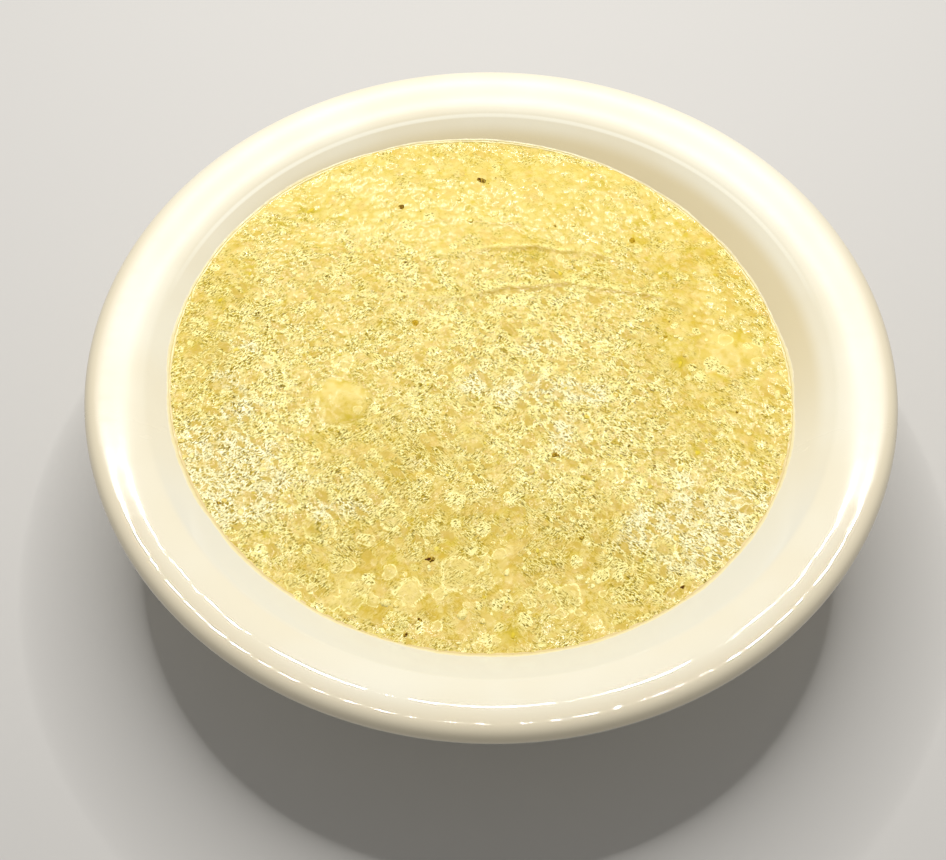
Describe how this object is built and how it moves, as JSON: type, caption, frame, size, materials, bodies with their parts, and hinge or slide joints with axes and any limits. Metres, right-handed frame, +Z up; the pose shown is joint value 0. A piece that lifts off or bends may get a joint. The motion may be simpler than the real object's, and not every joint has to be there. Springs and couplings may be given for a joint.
{
  "type": "bowl of grits",
  "caption": "Round glazed bowl with a broad domed rim, a rolled lip and a foot ring, filled most of the way with cooked corn grits that have an uneven, grainy, wet surface.",
  "frame": {"origin": "centre of the underside of the bowl's foot ring, on the surface that the bowl stands on", "axes": "+Z up along the bowl's axis; +Y away from the person eating, +X to that person's right"},
  "size_m": [0.165, 0.165, 0.042],
  "materials": {
    "glaze": "smooth clear gloss over a warm cream body",
    "grits": "wet cooked corn: pale swollen grains in a deeper yellow starch, with dark and bright yellow flecks"
  },
  "bodies": {
    "root": {"bowl": "glaze", "grits": "grits"}
  },
  "joints": []
}
